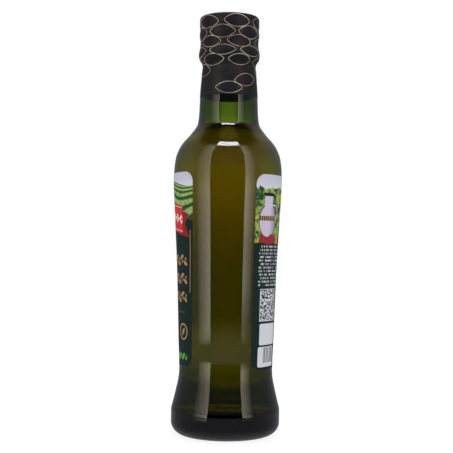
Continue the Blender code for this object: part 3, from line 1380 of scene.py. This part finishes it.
@dataclass
class GlassBottle:
    """The bottle: one closed skin round its wall, its floor and the punt under it."""

    finish: GlassFinish
    effects: Effects
    wall: float = 3.0 * MM
    neck_radius: float = 13.5 * MM
    lip_height: float = 217.0 * MM
    lip_round: float = 1.0 * MM
    bore_radius: float = 10.6 * MM
    bore_height: float = 197.0 * MM
    heel_radii: Point = (7.7 * MM, 6.9 * MM)
    ring_radius: float = 18.0 * MM
    punt_height: float = 4.5 * MM
    floor_rim: float = 9.9 * MM
    floor_middle: float = 14.0 * MM
    floor_round: float = 5.0 * MM
    steps: int = 7
    stations: tuple[Point, ...] = (
        (13.5, 197.7), (13.7, 194.5), (15.28, 177.4), (15.45, 173.9), (15.66, 168.6),
        (15.95, 165.7), (16.55, 162.9), (19.95, 157.9), (24.5, 152.6), (27.12, 147.4),
        (28.25, 141.6), (28.58, 134.0), (28.1, 123.4), (27.24, 107.5), (26.4, 91.8),
        (25.6, 70.4), (24.93, 49.5), (24.5, 36.3), (24.72, 30.9), (26.1, 23.8), (27.62, 17.4),
        (28.12, 15.4), (28.45, 14.1), (28.54, 13.0), (28.55, 12.0), (28.55, 6.9),
    )

    def outside(self) -> list[Point]:
        """Give the outline of the outer wall, from the neck down to the heel."""
        return flowing([(radius * MM, height * MM) for radius, height in self.stations], self.steps)

    def inside(self, clearance: float = 0.0) -> list[Point]:
        """Give the outline of the cavity, from its shoulder down to the middle of its floor.

        Args:
            clearance: how far the line runs inside the wall instead of on it.

        Returns:
            (radius, height) points, the last one on the axis.
        """
        side = beside(self.outside(), self.wall - clearance)
        start = self.floor_rim + self.floor_round
        side = [point for point in side if start < point[1] < self.bore_height - 4 * MM]
        corner = side[-1][0] - self.floor_round
        low = self.floor_rim - clearance
        turn_in = arc((corner, low + self.floor_round), (self.floor_round,) * 2, 0, -90, 8)
        rise = self.floor_middle - self.floor_rim
        dome = []
        for step in range(1, 13):
            share = 1 - step / 12
            dome.append((corner * share, low + rise * (1 - share**2)))
        return side + turn_in[1:] + dome

    def outline(self) -> tuple[list[Point], list[Point]]:
        """Give the outlines of the whole glass.

        Returns:
            The outer one, with lip, wall, heel, standing ring and punt, and that of the cavity.
        """
        lip_centre = (self.neck_radius - self.lip_round, self.lip_height - self.lip_round)
        lip = arc(lip_centre, (self.lip_round,) * 2, 90, 0, 6)
        outside = self.outside()
        heel_centre = (outside[-1][0] - self.heel_radii[0], self.heel_radii[1])
        heel = arc(heel_centre, self.heel_radii, 0, -90, 14)
        punt = [(self.ring_radius, 0.0)]
        for step in range(1, 17):
            share = 1 - step / 16
            punt.append((self.ring_radius * share, self.punt_height * (1 - share**2)))
        bore = [(self.bore_radius, self.bore_height), (self.bore_radius, self.lip_height)]
        return bore[1:] + lip + outside + heel[1:] + punt, self.inside()[::-1] + bore

    def make(self) -> bpy.types.Object:
        """Model the glass and dress it.

        Returns:
            The glass piece.
        """
        outer, inner = self.outline()
        piece = turn("bottle_glass", outer)
        join("bottle_glass", [piece, turn("bottle_cavity", inner)])
        with editing(piece):
            bpy.ops.mesh.remove_doubles(threshold=WELD)
            bpy.ops.mesh.normals_make_consistent(inside=False)
        shade(piece)
        piece.data.materials.append(self.finish.make(self.effects))
        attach(piece, BODY)
        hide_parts("glass_bottle")
        return piece


@dataclass
class OilFill:
    """The oil: a body that reaches a hair into the glass, with a climbing rim on its surface."""

    bottle: GlassBottle
    finish: OilFinish
    sediment: SedimentFinish
    overlap: float = 0.05 * MM
    sink: float = 0.5 * MM
    climb: float = 0.5 * MM
    climb_width: float = 1.8 * MM
    crumb_count: int = 24
    crumb_radii: Point = (0.16 * MM, 0.34 * MM)
    crumb_heights: Point = (15.5 * MM, 22.5 * MM)
    crumb_bearings: Point = (-48.0, 32.0)
    stray: Point = (24.9, 143.0 * MM)
    stray_scale: float = 1.3
    squash: tuple[Point, ...] = ((0.7, 1.3), (0.7, 1.3), (0.5, 0.9))
    seed: int = 7

    def make(self) -> list[bpy.types.Object]:
        """Model the oil and the crumbs in it, and dress them.

        Returns:
            The oil and the crumbs.
        """
        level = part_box("oil")[1].z - self.sink
        wall = self.bottle.inside(clearance=self.overlap)
        below = [point for point in wall if point[1] < level + self.climb]
        rim = below[0][0]
        surface = [(0.0, level)]
        for step in range(13):
            share = step / 12
            surface.append((rim - self.climb_width * (1 - share), level + self.climb * share**2.5))
        piece = turn("olive_oil", surface[:-1] + below)
        piece.data.materials.append(self.finish.make())
        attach(piece, BODY)
        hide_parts("oil")
        return [piece, self._crumbs()]

    def _crumbs(self) -> bpy.types.Object:
        """Model the crumbs that cling to the wall near the floor, and one higher up.

        Returns:
            One piece with all crumbs.
        """
        draw = random.Random(self.seed)
        wall = self.bottle.inside()
        spots = [(*self.stray, self.crumb_radii[1] * self.stray_scale)]
        for _ in range(self.crumb_count):
            ranges = (self.crumb_bearings, self.crumb_heights, self.crumb_radii)
            spots.append(tuple(draw.uniform(*limits) for limits in ranges))
        crumbs = []
        for bearing, height, radius in spots:
            turned = math.radians(bearing + CAMERA_BEARING)
            away = min(wall, key=lambda point: abs(point[1] - height))[0] - 1.2 * radius
            place = Vector((away * math.cos(turned), away * math.sin(turned), height))
            bpy.ops.mesh.primitive_ico_sphere_add(subdivisions=2, radius=radius, location=place)
            crumb = bpy.context.object
            settle(crumb)
            with editing(crumb):
                squash = tuple(draw.uniform(*limits) for limits in self.squash)
                bpy.ops.transform.resize(value=squash, center_override=place)
            crumbs.append(crumb)
        piece = join("oil_sediment", crumbs)
        shade(piece, 60)
        piece.data.materials.append(self.sediment.make())
        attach(piece, BODY)
        return piece


def join(name: str, pieces: Sequence[bpy.types.Object]) -> bpy.types.Object:
    """Join pieces into one.

    Args:
        name: the joined piece's name.
        pieces: the mesh objects, each at the origin.

    Returns:
        The joined piece.
    """
    select_only(pieces[0])
    for piece in pieces:
        piece.select_set(True)
    bpy.ops.object.join()
    pieces[0].name = name
    return pieces[0]


@dataclass(frozen=True)
class OvalPlace:
    """Where one pointed oval lies on the capsule, as the camera sees it."""

    bearing: float
    height: float
    tilt: float = 0.0
    scale: Point = (1.0, 1.0)


@dataclass
class Capsule:
    """The shrunk film over the closure, with its pattern of gold ovals."""

    effects: Effects
    film: FilmFinish
    inlay: FilmFinish
    foil: FoilFinish
    film_wall: float = 0.08 * MM
    rim_radius: float = 15.76 * MM
    rim_round: Point = (0.85 * MM, 1.4 * MM)
    crown: float = 0.13 * MM
    fold_radius: float = 11.2 * MM
    fold_height: float = 0.12 * MM
    skirt_top: float = 194.6 * MM
    closure_bore: float = 13.7 * MM
    closure_ceiling: float = 217.4 * MM
    oval_half: Point = (7.5 * MM, 3.45 * MM)
    tip_passes: int = 9
    line_width: float = 0.31 * MM
    line_height: float = 0.035 * MM
    inlay_height: float = 0.015 * MM
    pattern_gap: float = 0.004 * MM
    strips: Point = (1.2 * MM, 0.8 * MM)
    row_count: int = 6
    bearing_play: float = 2.5
    tilt_play: float = 3.0
    size_play: float = 0.03
    roll_radius: float = 15.6 * MM
    rows: tuple[OvalPlace, ...] = (
        OvalPlace(15.2, 216.1, 1.0, (0.98, 1.0)), OvalPlace(-14.6, 210.5, 0.0, (1.02, 1.06)),
        OvalPlace(20.6, 205.6, 0.0, (0.95, 0.92)), OvalPlace(-13.6, 200.8, 0.0, (1.04, 0.84)),
        OvalPlace(22.6, 196.0, 0.0, (0.98, 0.86)),
    )
    loose: tuple[OvalPlace, ...] = (
        OvalPlace(-68.0, 191.3, 8.0), OvalPlace(36.4, 185.7, -8.0),
        OvalPlace(0.0, 181.3, 0.0, (1.06, 0.93)), OvalPlace(96.0, 190.6, 5.0),
        OvalPlace(134.0, 183.4, -4.0), OvalPlace(178.0, 187.6, 3.0),
        OvalPlace(-122.0, 182.2, -3.0),
    )
    stations: tuple[Point, ...] = (
        (15.78, 218.0), (15.8, 215.4), (15.6, 213.5), (15.88, 210.5), (15.52, 208.4),
        (15.42, 205.6), (15.6, 203.8), (16.17, 200.8), (16.08, 199.0), (15.66, 197.6),
        (14.6, 196.0), (14.14, 194.6), (14.44, 191.2), (14.66, 188.0), (14.9, 184.9),
        (15.17, 181.7), (15.38, 177.6),
    )
    seed: int = 11

    def outline(self) -> list[Point]:
        """Draw the film's outer outline.

        Returns:
            (radius, height) points, from the middle of its top down to its lower edge.
        """
        side = flowing([(radius * MM, height * MM) for radius, height in self.stations], 5)
        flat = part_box("capsule")[1].z - self.crown
        rim_centre = (self.rim_radius - self.rim_round[0], flat - self.rim_round[1])
        rim = arc(rim_centre, self.rim_round, 90, 8, 10)
        fold = (self.fold_radius, flat + self.fold_height)
        return [(0.0, flat), (self.fold_radius - 0.5 * MM, flat), fold] + rim + side[1:]

    def make(self) -> list[bpy.types.Object]:
        """Model the film, its inlays and its gold lines, and dress them.

        Returns:
            The film, the inlays and the lines.
        """
        outer = self.outline()
        side = [point for point in outer if point[1] < self.skirt_top]
        inner = beside(side, self.film_wall)[::-1]
        ceiling = self.closure_ceiling
        under = [(self.closure_bore, self.skirt_top), (self.closure_bore, ceiling), (0.0, ceiling)]
        film = turn("capsule_film", outer + inner + under)
        film.data.materials.append(self.film.make("black_film", self.effects))
        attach(film, BODY)
        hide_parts("capsule")
        return [film, *self._ovals(film)]

    def _places(self) -> list[OvalPlace]:
        """List every oval: those of the rows, and the loose ones on the skirt.

        Returns:
            The ovals' places.
        """
        draw = random.Random(self.seed)
        places = list(self.loose)
        for row in self.rows:
            for step in range(self.row_count):
                shift = draw.uniform(-self.bearing_play, self.bearing_play) * (step > 0)
                bearing = row.bearing + 360 / self.row_count * step + shift
                tilt = row.tilt + draw.uniform(-self.tilt_play, self.tilt_play)
                size = draw.uniform(1 - self.size_play, 1 + self.size_play)
                scale = (row.scale[0] * size, row.scale[1] * size)
                places.append(OvalPlace(bearing, row.height, tilt, scale))
        return places

    def _one_oval(self) -> bpy.types.Object:
        """Model one flat oval: a disc cut to a segment, mirrored to a lens, with an inset line.

        Returns:
            The oval, its line in the first material and its inlay in the second.
        """
        length, height = self.oval_half
        radius = (length**2 + height**2) / (2 * height)
        bpy.ops.mesh.primitive_circle_add(
            vertices=120, radius=radius, rotation=UPRIGHT, location=(0, 0, height - radius)
        )
        oval = bpy.context.object
        settle(oval)
        with editing(oval):
            bpy.ops.mesh.bisect(plane_co=(0, 0, 0), plane_no=(0, 0, 1), clear_inner=True)
        shape_with(oval, "MIRROR", use_axis=(False, False, True), merge_threshold=WELD)
        with editing(oval):
            bpy.ops.mesh.remove_doubles(threshold=WELD)
            bpy.ops.mesh.edge_face_add()
            bpy.ops.mesh.select_all(action="SELECT")
            bpy.ops.mesh.vertices_smooth(factor=0.5, repeat=self.tip_passes)
            bpy.ops.mesh.inset(thickness=self.line_width)
        for face in oval.data.polygons:
            face.material_index = int(face.select)
        return oval

    def _ovals(self, film: bpy.types.Object) -> list[bpy.types.Object]:
        """Lay the ovals out flat, roll them onto the film and part lines from inlays.

        Args:
            film: the film that carries them.

        Returns:
            The inlays and the lines.
        """
        master = self._one_oval()
        master.data.materials.append(self.foil.make(self.effects))
        master.data.materials.append(self.inlay.make("film_inlay", self.effects))
        ovals = []
        for place in self._places():
            select_only(master)
            bpy.ops.object.duplicate(linked=False)
            oval = bpy.context.object
            angle = (place.bearing + CAMERA_BEARING + 90 + 180) % 360 - 180
            with editing(oval):
                wide, tall = place.scale
                bpy.ops.transform.resize(value=(wide, 1, tall), center_override=(0, 0, 0))
                turned = -math.radians(place.tilt)
                bpy.ops.transform.rotate(value=turned, orient_axis="Y", center_override=(0, 0, 0))
                along = math.radians(angle) * self.roll_radius
                bpy.ops.transform.translate(value=(along, 0, place.height * MM))
            ovals.append(oval)
        bpy.data.objects.remove(master)
        sheet = join("capsule_pattern", ovals)
        with editing(sheet):
            cut_into_strips(sheet, *self.strips)
        roll_onto(sheet, film, self.roll_radius, self.pattern_gap)
        return self._part(sheet)

    def _part(self, sheet: bpy.types.Object) -> list[bpy.types.Object]:
        """Part the rolled sheet into inlays and lines, and thicken both.

        Args:
            sheet: the rolled sheet.

        Returns:
            The inlays and the lines.
        """
        with editing(sheet):
            bpy.ops.mesh.separate(type="MATERIAL")
        parts = {part.data.materials[0].name: part for part in bpy.context.selected_objects}
        lines, inlays = parts["gold_foil"], parts["film_inlay"]
        lines.name, inlays.name = "capsule_lines", "capsule_inlays"
        for part, height in ((lines, self.line_height), (inlays, self.inlay_height)):
            shape_with(part, "SOLIDIFY", thickness=height, offset=1)
            shade(part)
            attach(part, BODY)
        return [inlays, lines]


@dataclass
class Label:
    """A printed paper label, cut flat with round corners and rolled onto the glass."""

    name: str
    node: str
    slot: str
    side: Side
    top_angle: float
    bottom_angle: float
    paper: float = 0.12 * MM
    gap: float = 0.02 * MM
    corner: float = 5.3 * MM
    rise: float = 1.4 * MM
    strips: Point = (1.0 * MM, 2.0 * MM)
    roll_radius: float = 26.6 * MM

    def make(self, carrier: bpy.types.Object, material: bpy.types.Material) -> bpy.types.Object:
        """Model the label and dress it.

        Args:
            carrier: the glass that carries it.
            material: its print.

        Returns:
            The label.
        """
        low, high = (corner.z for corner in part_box(self.node))
        low += self.rise
        wide = 2 * math.radians(self.top_angle) * self.roll_radius
        taper = self.bottom_angle / self.top_angle
        middle = (0, 0, (low + high) / 2)
        bpy.ops.mesh.primitive_plane_add(size=high - low, rotation=UPRIGHT, location=middle)
        piece = bpy.context.object
        piece.name = self.name
        settle(piece)
        with editing(piece):
            bpy.ops.transform.resize(value=(wide / (high - low), 1, 1), center_override=(0, 0, low))
            pick_points(piece, lambda place: place.z < middle[2])
            bpy.ops.transform.resize(value=(taper, 1, 1), center_override=(0, 0, low))
            bpy.ops.mesh.select_all(action="SELECT")
            bpy.ops.mesh.bevel(offset=self.corner, segments=12, affect="VERTICES")
            cut_into_strips(piece, *self.strips)
        roll_onto(piece, carrier, self.roll_radius, self.gap)
        shape_with(piece, "SOLIDIFY", thickness=self.paper, offset=1)
        if self.side is Side.BACK:
            piece.rotation_euler = (0, 0, math.pi)
            settle(piece)
        shade(piece)
        piece.data.materials.append(material)
        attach(piece, BODY)
        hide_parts(self.node)
        return piece


def stage(piece: bpy.types.Object, material: bpy.types.Material, hidden: Sequence[str]) -> None:
    """Dress a piece of the stage and hide it from some rays.

    Args:
        piece: the stage piece.
        material: its material.
        hidden: the kinds of rays that don't meet it.
    """
    piece.data.materials.append(material)
    for kind in hidden:
        setattr(piece, f"visible_{kind}", False)


def bearing_of(graph: Graph, x: Value, y: Value) -> Value:
    """Give the bearing of a place or a direction, in degrees to the right of the camera's.

    Args:
        graph: the graph it is worked out in.
        x: its X.
        y: its Y.

    Returns:
        The bearing, from -180 to 180.
    """
    bearing = math.radians(CAMERA_BEARING)
    near = x * math.cos(bearing) + y * math.sin(bearing)
    right = y * math.cos(bearing) - x * math.sin(bearing)
    return graph.calc("ARCTAN2", right, near) * math.degrees(1)


@dataclass
class PaleFloor:
    """The pale floor. Light that comes through the bottle sees it glow with a painted shadow: darker close
    to the bottle and brighter further off.
    """

    size: float = 12.0
    sink: float = 0.05 * MM
    grey: float = 0.2
    glow: float = 0.86
    # Painted shadow fades: distance from the bottle's axis in metres where each starts and ends, and the
    # glow levels there.
    painted_shadow_under: Fade = (0.03, 0.06, 0.08, 0.05)
    painted_shadow_around: Fade = (0.066, 0.092, 0.0, 0.42)

    def make(self) -> None:
        """Lay the floor just under the bottle."""
        bpy.ops.mesh.primitive_plane_add(size=self.size, location=(0, 0, -self.sink))
        floor = bpy.context.object
        floor.name = "studio_floor"
        graph = Surface("pale_floor", "ShaderNodeMixShader")
        soft = graph.add("ShaderNodeBsdfDiffuse", (self.grey, self.grey, self.grey, 1))
        glow = graph.add("ShaderNodeEmission", (1, 1, 1, 1), self.glow)
        x, y, _ = graph.split(graph.place())
        away = graph.distance(x, y)
        # Painted shadow of the bottle: rays through the glass see the floor glow darker near the bottle.
        level = graph.ramp(away, *self.painted_shadow_under) + graph.ramp(away, *self.painted_shadow_around)
        painted_shadow = graph.add("ShaderNodeEmission", (1, 1, 1, 1), level)
        graph.look(0, graph.add("ShaderNodeLightPath").outputs["Is Transmission Ray"])
        graph.look(1, graph.add("ShaderNodeAddShader", soft.outputs[0], glow.outputs[0]).outputs[0])
        graph.look(2, painted_shadow.outputs[0])
        stage(floor, graph.material, ("diffuse", "glossy", "volume_scatter", "shadow"))


@dataclass
class LightScreen:
    """A cylinder of light round the bottle, which only light through the glass meets.

    The levels are (height, brightness) points, with heights in millimetres and bearings in
    degrees from straight behind the bottle. A fade has a start, an end, and the levels there.
    """

    radius: float = 0.13
    height: float = 0.5
    sink: float = 1.0 * MM
    brightest: float = 2.0
    levels: tuple[Point, ...] = (
        (0.0, 0.40), (7.0, 0.48), (20.0, 0.60), (29.0, 0.67), (40.0, 0.72), (46.0, 0.66),
        (57.0, 0.41), (83.0, 0.45), (96.0, 0.57), (109.0, 0.67), (121.0, 0.87), (132.0, 1.10),
        (141.0, 1.34), (160.0, 1.5), (172.0, 1.4), (180.0, 1.3), (187.0, 0.96), (230.0, 0.9),
    )
    tint_change: float = 90.0
    low_tint: Point = (1.05, 1.14)
    high_tint: Point = (0.96, 0.92)
    aside: Fade = (8.0, 26.0, 0.0, 1.0)
    low_gain: Fade = (5.0, 48.0, -0.15, 0.55)
    high_gain: Fade = (45.0, 105.0, 0.0, 0.35)
    far_aside: Fade = (39.0, 64.0, 1.0, 0.6)
    neck_start: Fade = (163.0, 173.0, 0.0, 1.0)
    neck_aside: Fade = (3.2, 6.6, 1.0, 0.45)

    def make(self) -> None:
        """Stand the screen round the bottle."""
        middle = (0, 0, self.height / 2 - self.sink)
        bpy.ops.mesh.primitive_cylinder_add(
            vertices=96, radius=self.radius, depth=self.height, end_fill_type="NOTHING", location=middle
        )
        wall = bpy.context.object
        settle(wall)
        wall.name = "light_screen"
        graph = Surface("light_screen", "ShaderNodeEmission")
        x, y, z = graph.split(graph.place())
        height = z * (1 / MM)
        behind = 180.0 - abs(bearing_of(graph, x, y))
        stops = []
        for place, level in self.levels:
            warm, green = self.low_tint if place < self.tint_change else self.high_tint
            share = level / self.brightest
            stops.append((place, (share * warm, share * green, share * green, 1)))
        gain = graph.ramp(height, *self.low_gain) + graph.ramp(height, *self.high_gain)
        sides = (1.0 + graph.ramp(behind, *self.aside) * gain) * graph.ramp(behind, *self.far_aside)
        neck = graph.ramp(height, *self.neck_start)
        sides = neck * graph.ramp(behind, *self.neck_aside) + (1.0 - neck) * sides
        graph.look("Color", graph.curve(height, stops))
        graph.look("Strength", sides * self.brightest)
        stage(wall, graph.material, ("camera", "diffuse", "glossy", "volume_scatter", "shadow"))


@dataclass
class StudioLight:
    """The light of the world, which differs for each kind of ray.

    Surfaces reflect two tall strips, a softbox above, a wall, a table and a warm card. Their
    places are bearings from the camera's and elevations, in degrees.
    """

    seen: float = 1.0
    lit: float = 0.95
    through: float = 0.8
    wall_aside: Fade = (46.0, 72.0, 0.004, 0.23)
    wall_above: Fade = (8.0, 16.0, 0.0, 0.08)
    wall_foot: Fade = (-9.2, -7.6, 0.0, 1.0)
    wall_top: Fade = (40.0, 58.0, 1.0, 0.0)
    left_outer: Point = (-56.5, 31.0)
    left_inner: Fade = (-38.8, -36.6, 1.0, 0.0)
    left_foot: Fade = (-9.8, -7.8, 0.0, 1.0)
    right_outer: Point = (50.5, 25.0)
    right_inner: Fade = (35.8, 37.8, 0.0, 1.05)
    right_low: Fade = (-10.5, -3.5, 0.0, 1.12)
    right_foot: Fade = (-9.4, -8.6, 0.0, 1.0)
    strip_low: Fade = (-3.0, 9.0, 3.5, 2.3)
    strip_top: Fade = (50.0, 60.0, 1.0, 0.0)
    box_raised: tuple[float, float, float] = (57.0, 69.0, 2.5)
    box_turned: tuple[float, float, float] = (-38.0, 38.0, 4.0)
    box_level: float = 17.0
    table_far: Fade = (-9.2, -7.4, 0.28, 0.0)
    table_near: Fade = (-75.0, -15.0, 1.9, 1.0)
    card: tuple[Fade, ...] = ((18.0, 48.0, 0.0, 0.3), (48.0, 62.0, 0.0, -0.22), (74.0, 82.0, 0.0, 0.6))
    strip_tint: tuple[float, float, float] = (1.06, 0.97, 0.82)
    room_tint: tuple[float, float, float] = (0.96, 0.97, 1.1)
    card_tint: tuple[float, float, float] = (1.0, 0.62, 0.1)

    def make(self) -> None:
        """Light the scene."""
        world = bpy.data.worlds.new("studio_light")
        bpy.context.scene.world = world
        world.use_nodes = True
        world.cycles.sampling_method = "NONE"
        graph = Graph(world.node_tree)
        x, y, z = graph.split(graph.add("ShaderNodeTexCoord").outputs["Generated"])
        raised = graph.calc("ARCSINE", z) * math.degrees(1)
        paths = graph.add("ShaderNodeLightPath").outputs
        shown = self._reflected(graph, bearing_of(graph, x, y), raised)
        shown = graph.blend(paths["Is Glossy Ray"], (self.lit, self.lit, self.lit, 1), shown)
        for path, level in (("Is Transmission Ray", self.through), ("Is Camera Ray", self.seen)):
            shown = graph.blend(paths[path], shown, (level, level, level, 1))
        ground = graph.add("ShaderNodeBackground", shown)
        graph.add("ShaderNodeOutputWorld", ground.outputs[0])

    def _reflected(self, graph: Graph, turned: Value, raised: Value) -> Value:
        """Give the light that surfaces reflect.

        Args:
            graph: the world's graph.
            turned: the ray's bearing from the camera in degrees, to the right.
            raised: its elevation in degrees.

        Returns:
            The light's colour.
        """
        left = graph.above(turned, *self.left_outer) * graph.ramp(turned, *self.left_inner)
        left = left * graph.ramp(raised, *self.left_foot)
        right = graph.ramp(turned, *self.right_inner)
        right = right * graph.above(self.right_outer[0], turned, self.right_outer[1])
        right = right * graph.ramp(raised, *self.right_low) * graph.ramp(raised, *self.right_foot)
        strips = (left + right) * graph.ramp(raised, *self.strip_low) * graph.ramp(raised, *self.strip_top)
        box = graph.within(raised, *self.box_raised) * graph.within(turned, *self.box_turned)
        wall = graph.ramp(abs(turned), *self.wall_aside) + graph.ramp(raised, *self.wall_above)
        wall = wall * graph.ramp(raised, *self.wall_foot) * graph.ramp(raised, *self.wall_top)
        table = graph.ramp(raised, *self.table_far) * graph.ramp(raised, *self.table_near)
        low, middle, high = (graph.ramp(raised, *fade) for fade in self.card)
        room = graph.scaled(self.room_tint, wall + box * self.box_level + table)
        light = graph.together(graph.scaled(self.strip_tint, strips), room)
        return graph.together(light, graph.scaled(self.card_tint, low + middle + high))


@dataclass
class StudioCamera:
    """The camera, low and near, at the bearing that the photograph was taken from."""

    distance: float = 0.535
    height: float = 0.097
    aim_height: float = 0.1094
    aim_left: float = 0.00042
    roll: float = 0.68
    field_of_view: float = 25.3
    nearest: float = 0.01

    def make(self) -> None:
        """Set up the camera and show colours as they are."""
        bearing = math.radians(CAMERA_BEARING)
        towards = Vector((math.cos(bearing), math.sin(bearing), 0))
        right = Vector((-math.sin(bearing), math.cos(bearing), 0))
        place = towards * self.distance + Vector((0, 0, self.height))
        aim = Vector((0, 0, self.aim_height)) - right * self.aim_left
        forward = (aim - place).normalized()
        side = forward.cross(Vector((0, 0, 1))).normalized()
        up = side.cross(forward)
        lean = math.radians(self.roll)
        tilted_side = side * math.cos(lean) + up * math.sin(lean)
        tilted_up = up * math.cos(lean) - side * math.sin(lean)
        bpy.ops.object.camera_add()
        camera = bpy.context.object
        turned = Matrix((tilted_side, tilted_up, -forward)).transposed()
        camera.matrix_world = Matrix.Translation(place) @ turned.to_4x4()
        camera.data.lens_unit = "FOV"
        camera.data.angle = math.radians(self.field_of_view)
        camera.data.clip_start = self.nearest
        bpy.context.scene.camera = camera
        bpy.context.scene.view_settings.view_transform = "Standard"


def report(pieces: Sequence[bpy.types.Object]) -> None:
    """Log the size of each finished piece."""
    for piece in pieces:
        LOG.info("%s: %d faces", piece.name, len(piece.data.polygons))


def main() -> None:
    """Build the bottle's pieces in order and log their faces, then build the studio."""
    logging.basicConfig(level=logging.INFO, format="%(message)s")
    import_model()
    effects = Effects()
    bottle = GlassBottle(GlassFinish(), effects)
    glass = bottle.make()
    report([glass])
    report(OilFill(bottle, OilFinish(), SedimentFinish()).make())
    film = FilmFinish(warm=screen(25, 21, 23), cool=screen(21, 20, 25))
    inlay = FilmFinish(screen(20, 17, 24), screen(16, 16, 24), rough_low=0.42, rough_high=0.54)
    report(Capsule(effects, film, inlay, FoilFinish()).make())
    front = Label("front_label_paper", "front_label", "front_print", Side.FRONT, 55.5, 48.4)
    report([front.make(glass, FrontPrint().make(effects))])
    back = Label("back_label_paper", "back_label", "back_print", Side.BACK, 55.3, 54.6)
    report([back.make(glass, BackPrint().make(effects))])
    for part in (PaleFloor(), LightScreen(), StudioLight(), StudioCamera()):
        part.make()


if __name__ == "__main__":
    main()
